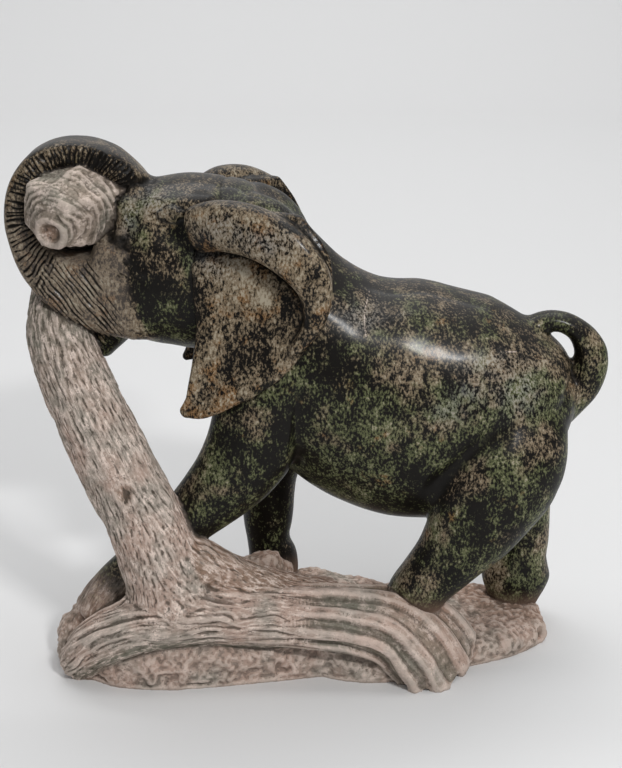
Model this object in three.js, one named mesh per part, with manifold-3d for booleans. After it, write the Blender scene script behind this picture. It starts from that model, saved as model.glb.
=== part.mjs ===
// A stone carving of an elephant that leans on a bent tree and curls its trunk round the broken top.
// Elephant, tree, root and ground are one stone, so the part is one closed solid.
// Millimetres, +Z up. The elephant faces -X, its left side is towards -Y, and the stone stands on Z = 0.
import * as THREE from "three";
import { mergeVertices } from "three/addons/utils/BufferGeometryUtils.js";
import Module from "manifold-3d";

const wasm = await Module();
wasm.setup();

// Directions
const ACROSS = new THREE.Vector3(0, 1, 0);
const ALONG = new THREE.Vector3(1, 0, 0);
const UP = new THREE.Vector3(0, 0, 1);
const FLARE = new THREE.Vector3(1, 1, 0).normalize();

// Driving dimensions. The animal is symmetrical about the plane MIDLINE where it doesn't bend.
const MIDLINE = 5;
const STANCE = { x: 3.4, y: 4.7 };
const FLOOR = { width: 800, depth: 400 };

// A station of a limb is its place [x, y, z] and its two half sizes: across the limb, then deep.
const TORSO = [
  [[-56, 5, 250], 33, 44],
  [[-30, 5, 236], 36, 44],
  [[-6, 6, 209], 44, 48.5],
  [[22, 6, 181], 49, 68],
  [[58, 6, 162], 52, 74],
  [[96, 6, 157], 50, 69],
  [[122, 6, 152], 44, 56],
  [[135, 6, 145], 34, 40],
];
const HEAD = [
  [[-42, 5, 244], 36, 50],
  [[-68, 5, 247], 37, 51],
  [[-91, 5, 247], 33, 47],
  [[-104, 5, 248], 26, 40],
];

// The curl of the trunk: a spiral about a centre, from under the face round to the brow.
const CURL = { centre: [-132, 5, 280], from: 280, to: 20, steps: 12 };
const CURL_RADIUS = [48, 40, 34.5, 32, 31.5, 31.5, 30.5, 32, 38];
const CURL_DEEP = [24, 14.5, 10, 8, 7.5, 7.5, 8, 8, 7];
const CURL_ACROSS = [26, 23, 20, 18.5, 18, 17.5, 17, 16, 15];
const TRUNK_ROOT = [
  [[-74, 5, 245], 25, 34],
  [[-92, 5, 240], 28, 37],
  [[-108, 5, 235], 28, 33],
];
const WRINKLES = 20;
const WRINKLE = 0.03;
const LIP = [
  [[-104, 5, 224], 17, 16],
  [[-114, 5, 208], 15, 12],
  [[-122, 5, 195], 12, 8],
];

// The muscle of the nape, on the near side.
const NAPE = [
  [[-36, -9, 278], 11, 11],
  [[-22, -10, 277], 12, 12],
  [[-8, -10, 265], 11, 11],
];

// Brow, hollow of the eye and lump of the muzzle on the near side. The far side is the same.
const BROW = [
  [[-99, -7, 282], 5, 5],
  [[-86, -13, 283], 8, 7],
  [[-72, -16, 284], 9, 7],
  [[-56, -18, 286], 7, 6],
];
const SOCKET = [
  [[-86, -32, 273], 5, 5],
  [[-74, -36, 272], 11, 9],
  [[-61, -36, 272], 6, 6],
];
const MUZZLE = [
  [[-105, -7, 285], 7, 6],
  [[-99, -9, 277], 9, 9],
  [[-93, -12, 266], 7, 7],
];
const EYELID = [
  [[-80, -22, 280.5], 4, 2],
  [[-75.5, -23, 284], 4.5, 2.4],
  [[-70, -24, 282], 4, 2],
];

// Legs and tail.
const NEAR_FORELEG = [
  [[-6, -14, 208], 20, 26],
  [[-20, -22, 174], 22, 30],
  [[-39, -26, 132], 19, 25],
  [[-70, -25, 97], 16, 17],
  [[-104, -22, 63], 14, 14],
  [[-118, -22, 44], 16, 17],
  [[-122, -22, 34], 17, 20],
];
const FAR_FORELEG = [
  [[-16, 28, 150], 20, 30],
  [[-23, 33, 105], 16, 18],
  [[-25, 34, 72], 14, 16],
  [[-25, 34, 56], 14, 13.5],
  [[-22.5, 34, 44], 15, 15.5],
  [[-22, 34, 34], 16, 16],
];
const NEAR_HINDLEG = [
  [[117, 4, 178], 26, 34],
  [[115, -22, 134], 28, 38],
  [[102, -29, 101], 23, 30],
  [[87, -30, 77], 19, 22],
  [[74, -29, 60], 18, 18],
  [[66, -27, 48], 18, 17],
  [[64, -26, 42], 17, 16],
];
const FAR_HINDLEG = [
  [[124, 24, 130], 24, 34],
  [[137, 32, 86], 17, 18],
  [[140, 34, 60], 15, 15],
  [[137, 34, 44], 17, 18],
  [[135, 34, 30], 18, 22],
  [[134, 34, 12], 15, 15],
];
const TAIL = [
  [[124, 6, 202], 8, 7],
  [[143, 6, 210], 8, 6],
  [[159, 6, 205], 9, 6.5],
  [[169, 6, 190], 10, 10],
  [[166, 6, 172], 11, 11],
  [[152, 6, 156], 11, 12],
  [[138, 6, 146], 10, 12],
];

// The tree, its broken top, the arched root and the ground.
const TREE = [
  [[-78, -44, 44], 22, 26],
  [[-85, -44, 72], 21, 24],
  [[-95, -42, 103], 21, 23],
  [[-118, -32, 149], 20, 22],
  [[-142.5, -10, 198], 18, 19.5],
  [[-148, 8, 222], 15, 15],
  [[-144, 17, 245], 15, 14],
  [[-132, 18, 268], 15, 15],
];
const STUMP = [
  [[-108, 30, 281], 19, 18],
  [[-117, 13, 282], 24, 23],
  [[-131, -9, 282], 24, 22],
  [[-144, -28, 281], 19, 19],
];
const ROOT = [
  [[-138, -38, 8], 15, 13],
  [[-121, -47, 27], 17, 16],
  [[-93, -50, 42], 18, 18],
  [[-60, -48, 45], 18, 18],
  [[-34, -46, 42], 18, 18],
  [[0, -44, 40], 20, 18],
  [[30, -41, 37], 23, 19],
  [[54, -39, 31], 27, 20],
  [[72, -38, 18], 30, 18],
  [[84, -37, 2], 31, 15],
];
const FLUTES = 10;
const FLUTE = 0.02;
const FLUTE_SPREAD = 0.05;
const GROUND = [
  [[-146, -14, 4], 16, 20],
  [[-128, -12, 6], 40, 27],
  [[-90, -9, 8], 52, 29],
  [[-30, 0, 8], 52, 29],
  [[10, 5, 6], 50, 24],
  [[40, 2, 4], 54, 19],
  [[74, 8, 4], 48, 16],
  [[118, 17, 4], 39, 12],
  [[143, 22, 4], 26, 11],
];

const RIDGE = [
  [[-86, -14, 40], 18, 22],
  [[-62, 2, 42], 15, 15],
  [[-40, 14, 37], 13, 12],
  [[-20, 17, 36], 12, 12],
];

// The web between tree and root, and the rock before the far fore foot.
const BUTTRESS = [
  [[-82, -42, 86], 16, 14],
  [[-60, -40, 73], 15, 14],
  [[-36, -36, 59], 15, 13],
  [[-10, -30, 50], 16, 11],
  [[14, -22, 44], 14, 10],
];
const ROCK = [
  [[-33, 6, 44], 10, 14],
  [[-23, 6, 46], 10, 15],
];
// The near ear: its flap, and the fold along the top and back. The far ear is narrower.
const EAR_FLAP = [
  [[-25, -41, 284], 24, 5],
  [[-25, -43, 268], 37, 5],
  [[-25, -44, 250], 41, 5],
  [[-29.5, -45, 230], 37.5, 5],
  [[-37, -46, 210], 29.5, 5],
  [[-50, -46, 190], 18.5, 5],
  [[-61, -46, 177], 10, 4],
  [[-70, -45, 171], 3, 3],
];
const EAR_TURN = 17;
const EAR_HINGE = -66;
const FAR_EAR_SHARE = 0.78;
const FAR_EAR_LEAN = { share: 0.1, below: 250 };
const EAR_FOLD = [
  [[-60, -33, 275], 8, 13],
  [[-46, -42, 279], 9, 14],
  [[-28, -50, 277], 9, 14],
  [[-9, -56, 267], 8.5, 13],
  [[4, -60, 250], 7, 10],
  [[4, -59, 229], 6, 6],
  [[-7, -57, 212], 5, 3],
];

// A solid from a closed triangle mesh.
function solidOf(geometry) {
  geometry.deleteAttribute("normal");
  geometry.deleteAttribute("uv");
  const merged = mergeVertices(geometry, 1e-3);
  return new wasm.Manifold(
    new wasm.Mesh({
      numProp: 3,
      vertProperties: new Float32Array(merged.attributes.position.array),
      triVerts: new Uint32Array(merged.index.array),
    }),
  );
}

// A smooth line through the stations, with their half sizes carried along it.
function flow(stations) {
  const points = stations.map(([place]) => new THREE.Vector3(...place));
  const sizes = stations.map(([, across, deep]) => new THREE.Vector3(across, deep, 0));
  return {
    line: new THREE.CatmullRomCurve3(points, false, "catmullrom", 0.5),
    size: new THREE.CatmullRomCurve3(sizes, false, "catmullrom", 0.5),
  };
}

// A limb: superelliptic sections along a smooth line, with rounded ends.
function limb(stations, options) {
  const { sides, rings, power = 2, lateral = ACROSS, turn = 0, cap = 0.6, carve = () => 1 } = options;
  const { line, size } = flow(stations);
  const positions = [];
  const index = [];
  const capSteps = [0.93, 0.55];
  const sections = [
    ...capSteps.map((s) => ({ t: 0, out: -s })),
    ...Array.from({ length: rings + 1 }, (_, i) => ({ t: i / rings, out: 0 })),
    ...capSteps.toReversed().map((s) => ({ t: 1, out: s })),
  ];
  for (const { t, out } of sections) {
    const tangent = line.getTangent(t);
    const across = lateral.clone().addScaledVector(tangent, -lateral.dot(tangent)).normalize();
    across.applyAxisAngle(tangent, THREE.MathUtils.degToRad(turn));
    const deep = new THREE.Vector3().crossVectors(tangent, across);
    const { x: a, y: b } = size.getPoint(t);
    const shrink = Math.sqrt(1 - out * out);
    const centre = line.getPoint(t).addScaledVector(tangent, out * cap * Math.min(a, b));
    for (let i = 0; i < sides; i++) {
      const angle = (2 * Math.PI * i) / sides;
      const c = Math.cos(angle);
      const s = Math.sin(angle);
      const r = shrink * carve(angle, t) * (Math.abs(c) ** power + Math.abs(s) ** power) ** (-1 / power);
      const p = centre.clone().addScaledVector(across, a * r * c).addScaledVector(deep, b * r * s);
      positions.push(p.x, p.y, p.z);
    }
  }
  const last = sections.length - 1;
  for (let j = 0; j < last; j++) {
    for (let i = 0; i < sides; i++) {
      const k = (i + 1) % sides;
      const [p, q, r, s] = [j * sides + i, j * sides + k, (j + 1) * sides + k, (j + 1) * sides + i];
      index.push(p, q, r, p, r, s);
    }
  }
  for (let i = 1; i < sides - 1; i++) {
    index.push(0, i + 1, i);
    index.push(last * sides, last * sides + i, last * sides + i + 1);
  }
  const geometry = new THREE.BufferGeometry();
  geometry.setAttribute("position", new THREE.Float32BufferAttribute(positions, 3));
  geometry.setIndex(index);
  return solidOf(geometry);
}

// The same form on the animal's far side, drawn in towards the ear's front edge and leaning forward.
function farSide(stations, share, acrossShare, lean) {
  return stations.map(([[x, y, z], across, deep]) => [
    [
      EAR_HINGE + share * (x - EAR_HINGE) - lean * Math.max(FAR_EAR_LEAN.below - z, 0),
      2 * MIDLINE - y,
      z,
    ],
    across * acrossShare,
    deep,
  ]);
}

// A value at share t of a short list, between its neighbours.
function between(list, t) {
  const place = t * (list.length - 1);
  const i = Math.min(Math.floor(place), list.length - 2);
  return THREE.MathUtils.lerp(list[i], list[i + 1], place - i);
}

function trunkStations() {
  const [cx, cy, cz] = CURL.centre;
  const curl = Array.from({ length: CURL.steps + 1 }, (_, i) => {
    const t = i / CURL.steps;
    const angle = THREE.MathUtils.degToRad(THREE.MathUtils.lerp(CURL.from, CURL.to, t));
    const r = between(CURL_RADIUS, t);
    const place = [cx + r * Math.cos(angle), cy, cz + r * Math.sin(angle)];
    return [place, between(CURL_ACROSS, t), between(CURL_DEEP, t)];
  });
  return [...TRUNK_ROOT, ...curl];
}

// Wrinkles across the two flat sides of the trunk.
function wrinkle(angle, t) {
  const side = Math.cos(angle) ** 2;
  return 1 + WRINKLE * side * Math.cos(WRINKLES * 2 * Math.PI * t);
}

// Flutes along the root, deeper where it spreads to the ground.
function flutes(angle, t) {
  return 1 + (FLUTE + FLUTE_SPREAD * t ** 3) * Math.cos(FLUTES * angle);
}

function elephant() {
  const pieces = [
    limb(TORSO, { sides: 22, rings: 12 }),
    limb(HEAD, { sides: 18, rings: 5, power: 2.3 }),
    limb(trunkStations(), { sides: 12, rings: 40, power: 3.2, carve: wrinkle }),
    limb(LIP, { sides: 8, rings: 3 }),
    limb(NEAR_FORELEG, { sides: 12, rings: 8 }),
    limb(FAR_FORELEG, { sides: 12, rings: 8 }),
    limb(NEAR_HINDLEG, { sides: 12, rings: 8 }),
    limb(FAR_HINDLEG, { sides: 12, rings: 8 }),
    limb(TAIL, { sides: 8, rings: 12 }),
  ];
  const farFlap = farSide(EAR_FLAP, FAR_EAR_SHARE, FAR_EAR_SHARE, FAR_EAR_LEAN.share);
  const farFold = farSide(EAR_FOLD, FAR_EAR_SHARE, 1, FAR_EAR_LEAN.share);
  for (const [flap, fold, turn] of [[EAR_FLAP, EAR_FOLD, EAR_TURN], [farFlap, farFold, -EAR_TURN]]) {
    pieces.push(limb(flap, { sides: 14, rings: 9, power: 2.4, lateral: ALONG, turn }));
    pieces.push(limb(fold, { sides: 10, rings: 10, power: 2.8 }));
  }
  for (const feature of [NAPE, BROW, MUZZLE]) {
    for (const side of [feature, farSide(feature, 1, 1, 0)]) {
      pieces.push(limb(side, { sides: 8, rings: 3 }));
    }
  }
  const sockets = [SOCKET, farSide(SOCKET, 1, 1, 0)].map((side) => limb(side, { sides: 10, rings: 4 }));
  const lids = [EYELID, farSide(EYELID, 1, 1, 0)].map((side) => limb(side, { sides: 6, rings: 4 }));
  const animal = wasm.Manifold.union(pieces).subtract(wasm.Manifold.union(sockets));
  return [animal, ...lids];
}

function treeAndGround() {
  return [
    limb(TREE, { sides: 14, rings: 10 }),
    limb(STUMP, { sides: 12, rings: 5, lateral: UP, cap: 0.2 }),
    limb(ROOT, { sides: 20, rings: 14, lateral: FLARE, carve: flutes }),
    limb(GROUND, { sides: 16, rings: 11, power: 3.2 }),
    limb(RIDGE, { sides: 8, rings: 4, cap: 1 }),
    limb(BUTTRESS, { sides: 10, rings: 6 }),
    limb(ROCK, { sides: 8, rings: 2, cap: 0.9 }),
  ];
}

function carving() {
  const { width, depth } = FLOOR;
  const floor = new THREE.BoxGeometry(width, width, depth).translate(0, 0, -depth / 2);
  const whole = wasm.Manifold.union([...elephant(), ...treeAndGround()]).subtract(solidOf(floor));
  const mesh = whole.getMesh();
  const geometry = new THREE.BufferGeometry();
  geometry.setAttribute("position", new THREE.Float32BufferAttribute(mesh.vertProperties, 3));
  geometry.setIndex(new THREE.BufferAttribute(mesh.triVerts, 1));
  geometry.translate(-STANCE.x, -STANCE.y, 0);
  geometry.computeVertexNormals();
  return geometry;
}

const stone = new THREE.MeshStandardMaterial({ color: 0x4a463e, roughness: 0.4, metalness: 0 });
const statue = new THREE.Mesh(carving(), stone);
statue.name = "elephant_carving";

const group = new THREE.Group();
group.add(statue);
export default group;
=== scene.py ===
"""Looks of a stone carving: an elephant leans on a bent tree and curls its trunk round the broken top.

The elephant is polished and waxed dark, the tree, the arched root and the ground are left raw and pale.
All of it is one stone, so the looks are one closed mesh that stands for the solid.
"""

import math

import bpy
import numpy as np
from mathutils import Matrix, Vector, kdtree


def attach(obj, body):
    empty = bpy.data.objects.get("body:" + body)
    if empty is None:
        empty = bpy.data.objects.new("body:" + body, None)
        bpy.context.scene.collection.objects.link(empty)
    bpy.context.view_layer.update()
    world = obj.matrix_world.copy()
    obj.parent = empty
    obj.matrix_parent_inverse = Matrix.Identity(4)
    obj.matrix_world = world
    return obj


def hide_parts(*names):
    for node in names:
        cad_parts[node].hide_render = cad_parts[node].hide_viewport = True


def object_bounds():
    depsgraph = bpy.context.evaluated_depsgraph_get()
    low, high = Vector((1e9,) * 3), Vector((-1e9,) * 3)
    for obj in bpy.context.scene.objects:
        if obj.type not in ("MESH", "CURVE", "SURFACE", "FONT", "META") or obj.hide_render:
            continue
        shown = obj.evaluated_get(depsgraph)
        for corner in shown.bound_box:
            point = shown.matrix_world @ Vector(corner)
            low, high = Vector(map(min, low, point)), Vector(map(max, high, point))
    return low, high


bl_info = {
    "name": "Stone elephant carving",
    "version": (1, 0, 0),
    "blender": (4, 5, 0),
    "location": "View3D > Sidebar > Carving",
    "description": "Builds a carved stone elephant with its tree, root and ground, and a plain stage",
    "category": "Object",
}

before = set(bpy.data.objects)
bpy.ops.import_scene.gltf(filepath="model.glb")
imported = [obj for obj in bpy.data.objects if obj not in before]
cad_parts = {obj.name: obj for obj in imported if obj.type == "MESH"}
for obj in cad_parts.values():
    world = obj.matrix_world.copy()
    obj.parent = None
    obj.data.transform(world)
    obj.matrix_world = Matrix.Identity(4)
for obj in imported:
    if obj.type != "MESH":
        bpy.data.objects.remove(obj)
CAD_BOX = [list(corner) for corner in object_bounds()]
NODE = "elephant_carving"
MM = 0.001

# Stations of the limbs in millimetres, as in the solid: x, y, z, half size across, half size deep.
STANCE = np.array((3.4, 4.7, 0.0))
MIDLINE = 5.0
TORSO = (
    (-56, 5, 250, 33, 44),
    (-30, 5, 236, 36, 44),
    (-6, 6, 209, 44, 48.5),
    (22, 6, 181, 49, 68),
    (58, 6, 162, 52, 74),
    (96, 6, 157, 50, 69),
    (122, 6, 152, 44, 56),
    (135, 6, 145, 34, 40),
)
NAPE = (
    (-36, -9, 278, 11, 11),
    (-22, -10, 277, 12, 12),
    (-8, -10, 265, 11, 11),
)
HEAD = (
    (-42, 5, 244, 36, 50),
    (-68, 5, 247, 37, 51),
    (-91, 5, 247, 33, 47),
    (-104, 5, 248, 26, 40),
)
BROW = (
    (-99, -7, 282, 5, 5),
    (-86, -13, 283, 8, 7),
    (-72, -16, 284, 9, 7),
    (-56, -18, 286, 7, 6),
)
MUZZLE = (
    (-105, -7, 285, 7, 6),
    (-99, -9, 277, 9, 9),
    (-93, -12, 266, 7, 7),
)
EYELID = (
    (-81, -22, 280.5, 3, 1.6),
    (-75.5, -23, 284, 4, 2),
    (-69, -24, 281.5, 3, 1.6),
)
EYEBALL = (
    (-77, -21.5, 280, 4, 3.2),
    (-73, -22, 280, 4, 3.2),
)
SOCKET = (-74.0, 272.5)
SOCKET_SIZE = (13.0, 9.5)
TRUNK_ROOT = (
    (-74, 5, 245, 25, 34),
    (-92, 5, 240, 28, 37),
    (-108, 5, 235, 28, 33),
)
CURL_CENTRE = (-132.0, 5.0, 280.0)
CURL_FROM, CURL_TO, CURL_STEPS = 280.0, 20.0, 12
CURL_RADIUS = (48, 40, 34.5, 32, 31.5, 31.5, 30.5, 32, 38)
CURL_DEEP = (24, 14.5, 10, 8, 7.5, 7.5, 8, 8, 7)
CURL_ACROSS = (26, 23, 20, 18.5, 18, 17.5, 17, 16, 15)
LIP = (
    (-104, 5, 224, 17, 16),
    (-114, 5, 208, 15, 12),
    (-122, 5, 195, 12, 8),
)
NEAR_FORELEG = (
    (-6, -14, 208, 20, 26),
    (-20, -22, 174, 22, 30),
    (-39, -26, 132, 19, 25),
    (-70, -25, 97, 16, 17),
    (-104, -22, 63, 14, 14),
    (-118, -22, 44, 16, 17),
    (-122, -22, 34, 17, 20),
)
FAR_FORELEG = (
    (-16, 28, 150, 20, 30),
    (-23, 33, 105, 16, 18),
    (-25, 34, 72, 14, 16),
    (-25, 34, 56, 14, 13.5),
    (-22.5, 34, 44, 15, 15.5),
    (-22, 34, 34, 16, 16),
)
NEAR_HINDLEG = (
    (117, 4, 178, 26, 34),
    (115, -22, 134, 28, 38),
    (102, -29, 101, 23, 30),
    (87, -30, 77, 19, 22),
    (74, -29, 60, 18, 18),
    (66, -27, 48, 18, 17),
    (64, -26, 42, 17, 16),
)
FAR_HINDLEG = (
    (124, 24, 130, 24, 34),
    (137, 32, 86, 17, 18),
    (140, 34, 60, 15, 15),
    (137, 34, 44, 17, 18),
    (135, 34, 30, 18, 22),
    (134, 34, 12, 15, 15),
)
TAIL = (
    (124, 6, 202, 8, 7),
    (143, 6, 210, 8, 6),
    (159, 6, 205, 9, 6.5),
    (169, 6, 190, 10, 10),
    (166, 6, 172, 11, 11),
    (152, 6, 156, 11, 12),
    (138, 6, 146, 10, 12),
)
EAR_FLAP = (
    (-25, -41, 284, 24, 5),
    (-25, -43, 268, 37, 5),
    (-25, -44, 250, 41, 5),
    (-29.5, -45, 230, 37.5, 5),
    (-37, -46, 210, 29.5, 5),
    (-50, -46, 190, 18.5, 5),
    (-61, -46, 177, 10, 4),
    (-70, -45, 171, 3, 3),
)
EAR_FOLD = (
    (-60, -33, 275, 8, 13),
    (-46, -42, 279, 9, 14),
    (-28, -50, 277, 9, 14),
    (-9, -56, 267, 8.5, 13),
    (4, -60, 250, 7, 10),
    (4, -59, 229, 6, 6),
    (-7, -57, 212, 5, 3),
)
EAR_TURN = 17.0
EAR_HINGE = -66.0
FAR_EAR_SHARE = 0.78
FAR_EAR_LEAN = 0.1
FAR_EAR_BELOW = 250.0
TREE = (
    (-78, -44, 44, 22, 26),
    (-85, -44, 72, 21, 24),
    (-95, -42, 103, 21, 23),
    (-118, -32, 149, 20, 22),
    (-142.5, -10, 198, 18, 19.5),
    (-148, 8, 222, 15, 15),
    (-144, 17, 245, 15, 14),
    (-132, 18, 268, 15, 15),
)
TREE_KNOT = (-103.0, -60.0, 127.0)
STUMP = (
    (-108, 30, 281, 19, 18),
    (-117, 13, 282, 24, 23),
    (-131, -9, 282, 24, 22),
    (-144, -28, 281, 19, 19),
)
STUMP_KNOT = (-142.0, -36.0, 272.0)
KNOT_SIZE = 7.5
ROOT = (
    (-138, -38, 8, 15, 13),
    (-121, -47, 27, 17, 16),
    (-93, -50, 42, 18, 18),
    (-60, -48, 45, 18, 18),
    (-34, -46, 42, 18, 18),
    (0, -44, 40, 20, 18),
    (30, -41, 37, 23, 19),
    (54, -39, 31, 27, 20),
    (72, -38, 18, 30, 18),
    (84, -37, 2, 31, 15),
)
GROUND = (
    (-146, -14, 4, 16, 20),
    (-128, -12, 6, 40, 27),
    (-90, -9, 8, 52, 29),
    (-30, 0, 8, 52, 29),
    (10, 5, 6, 50, 24),
    (40, 2, 4, 54, 19),
    (74, 8, 4, 48, 16),
    (118, 17, 4, 39, 12),
    (143, 22, 4, 26, 11),
)
RIDGE = (
    (-86, -14, 40, 18, 22),
    (-62, 2, 42, 15, 15),
    (-40, 14, 37, 13, 12),
    (-20, 17, 36, 12, 12),
)
BUTTRESS = (
    (-82, -42, 86, 16, 14),
    (-60, -40, 73, 15, 14),
    (-36, -36, 59, 15, 13),
    (-10, -30, 50, 16, 11),
    (14, -22, 44, 14, 10),
)
ROCK = (
    (-33, 6, 44, 10, 14),
    (-23, 6, 46, 10, 15),
)
ALONG = (1.0, 0.0, 0.0)
ACROSS = (0.0, 1.0, 0.0)
UP = (0.0, 0.0, 1.0)
FLARE = (math.sqrt(0.5), math.sqrt(0.5), 0.0)
WOOD = ("tree", "stump", "root", "ground", "ridge", "buttress", "rock")
FEET = (NEAR_FORELEG[-1], FAR_FORELEG[-1], NEAR_HINDLEG[-1], FAR_HINDLEG[-1])

# Creases on the near side, as x and z of the points that they run through.
THIGH_CREASE = ((119, 166), (107, 156), (90, 139), (77, 125), (67, 111))
SHOULDER_CREASE = ((-5, 190), (-5, 161), (-5.5, 140), (-6, 126))
EAR_UNDERCUT = ((-60, 262), (-49, 264), (-37, 264.5), (-27, 261.5), (-14, 254), (-6, 248), (0, 242))
FACE_EDGE = ((-87, 296), (-98, 295), (-107, 288), (-110, 277), (-111, 266))

# Painted shade (dark spots) and scuffs with painted sheen (pale spots) on the near side: x, z, half width,
# half height, and the scratches' x and z.
PAINTED_SHADE_SPOTS = (
    (-60, 250, 9, 24),
    (-84, 228, 26, 13),
    (-68, 268, 12, 9),
    (12, 205, 14, 22),
    (-12, 160, 9, 20),
    (24, 192, 9, 9),
    (70, 118, 16, 10),
    (104, 112, 20, 20),
    (-30, 208, 15, 17),
    (-126, 309, 28, 9),
)
SCUFF_AND_SHEEN_SPOTS = (
    (81, 171, 9, 6),
    (93, 181, 8, 5),
    (-48, 255, 12, 6),
    (30, 222, 12, 7),
    (58, 223, 2, 2),
    (100, 197, 12, 5),
    (-86, 286, 10, 6),
    (-100, 277, 5, 8),
    (122, 180, 12, 12),
    (-46, 280, 12, 6),
    (-20, 274, 14, 7),
)
SCRATCHES = (
    ((36, 234), (33, 226), (32.5, 219), (33.5, 213)),
    ((111, 202), (120, 201)),
)

# Steps of the meshes in millimetres, and counts of smoothing steps.
LOFT_STEP = 1.6
CAP_STEPS = 6
BLEND_VOXEL = 1.4
EAR_VOXEL = 0.9
BODY_FILLET = 16
WOOD_FILLET = 16

# Places where the limbs run into each other more softly: limits of x, y and z.
BORDER = 12.0
FOREHEAD = ((-112, -50), (-60, 70), (272, 320))
BACK = ((-30, 110), (-60, 70), (190, 320))
FORK = ((-130, 30), (-90, 20), (42, 125))
BACK_STEPS = 90
FOREHEAD_STEPS = 30
FORK_FILLET = 240
EDGE_STEPS = 5
BLEND_STEPS = 14

# The fibres of the tree below this height, and of the root from this x to this share of its run,
# sweep as one. They fade in and out over these lengths.
FORK_TOP, FORK_TOP_FADE = 150.0, 30.0
FORK_LEFT, FORK_LEFT_FADE = -92.0, 25.0
FLARE_START, FLARE_FADE = 0.5, 0.15

# Tool marks and creases in millimetres: depths, widths and pitches, and counts round a limb.
CURL_GROOVES, CURL_GROOVE_DEPTH = 80, 1.9
SLANT_PITCH, SLANT_DEPTH = 2.7, 1.4
FLUTES, FLUTE_DEPTH, FLUTE_SINK = 8, 1.9, 1.2
RING_PITCH, RING_DEPTH, KNOT_RIM = 4.4, 0.5, 1.8
SOCKET_DEPTH = 4.6
MUZZLE_HOLLOW, MUZZLE_HOLLOW_SIZE, MUZZLE_HOLLOW_DEPTH = (-104, 264), (6, 5), 2.2
CROWN_LINE, CROWN_WIDTH, CROWN_DEPTH = -47.0, 1.8, 0.9
FACE_EDGE_WIDTH, FACE_EDGE_DEPTH = 2.2, 1.8
THIGH_WIDTH, THIGH_DEPTH = 6.5, 3.4
SHOULDER_WIDTH, SHOULDER_DEPTH = 3.6, 2.4
# UNDERCUT_SHADE is the width of the painted shadow under the ear's fold.
UNDERCUT_WIDTH, UNDERCUT_DEPTH, UNDERCUT_SHADE = 6.0, 5.0, 4.0
SCRATCH_WIDTH = 0.5
SAWN_BELOW = 1.2

# Patterns of the stone: cells a metre, and stretches of the specks and of the fibres.
PATCHES, BLOTS, CLUMPS, SPECKS = 30.0, 72.0, 185.0, 740.0
HUES, RUST_SPOTS = 44.0, 62.0
RAW_PATCHES, RAW_CLUMPS, GRITS, CUTS = 42.0, 150.0, 900.0, 620.0
UPRIGHT = (1.0, 1.0, 0.62)
FIBRE = (1.0, 1.0, 0.22)

# Stage: floor and backdrop in lengths of the carving's diagonal, lamps and camera in metres.
FLOOR_NEAR, FLOOR_FAR, FLOOR_WIDE = 8.0, 4.0, 12.0
BACKDROP_BEND, BACKDROP_HIGH = 1.2, 8.0
WALL_LAMP_BEFORE, WALL_LAMP_HIGH, WALL_LAMP_AIM = 1.4, 5.0, 1.6
WALL_LAMP_SIZE = (3.0, 0.4)
KEY_PLACE, KEY_SIZE = (0.5, -1.05, 1.02), (0.2, 0.08)
PANEL_PLACE, PANEL_SIZE = (0.0, 0.2, 1.5), (1.4, 1.0)
CAMERA_PLACE = (-0.001, -0.8465, 0.4705)
FILM_WIDTH = 36.0
ROOM_TINT = (0.97, 0.98, 1.0, 1.0)


def smooth(low, high, x):
    """A soft step from 0 at low to 1 at high."""
    t = np.clip((x - low) / (high - low), 0, 1)
    return t * t * (3 - 2 * t)


def unit(v):
    return v / np.maximum(np.linalg.norm(v, axis=-1, keepdims=True), 1e-9)


def spline(points, t):
    """The smooth line through the points at shares t, as the solid's lines run."""
    p = np.asarray(points, float)
    ends = np.vstack([2 * p[0] - p[1], p, 2 * p[-1] - p[-2]])
    x = np.clip(t, 0, 1) * (len(p) - 1)
    i = np.minimum(x.astype(int), len(p) - 2)
    w = (x - i)[:, None]
    p0, p1, p2, p3 = (ends[i + k] for k in range(4))
    start, stop = (p2 - p0) / 2, (p3 - p1) / 2
    square = -3 * p1 + 3 * p2 - 2 * start - stop
    cube = 2 * p1 - 2 * p2 + start + stop
    return p1 + start * w + square * w**2 + cube * w**3


def noise(p, seed):
    """Smooth random values from -1 to 1 at the points p, one lattice cell a unit."""
    cell = np.floor(p).astype(np.int64)
    f = p - cell
    f = f * f * (3 - 2 * f)
    total = np.zeros(len(p))
    for corner in np.ndindex(2, 2, 2):
        at = cell + corner
        h = (at[:, 0] * 73856093) ^ (at[:, 1] * 19349663) ^ (at[:, 2] * 83492791) ^ (seed * 2654435)
        h = ((h ^ (h >> 13)) * 1274126177) & 0x7FFFFFFF
        h = ((h ^ (h >> 15)) * 668265263) & 0x7FFFFFFF
        weight = np.prod(np.where(corner, f, 1 - f), axis=1)
        total += weight * ((h % 65536) / 32768.0 - 1)
    return total


def rough(p, seed, octaves=3):
    """Noise of several sizes, each half as large as the one before."""
    return sum(noise(p * 2**k, seed + k) / 2**k for k in range(octaves))


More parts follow.
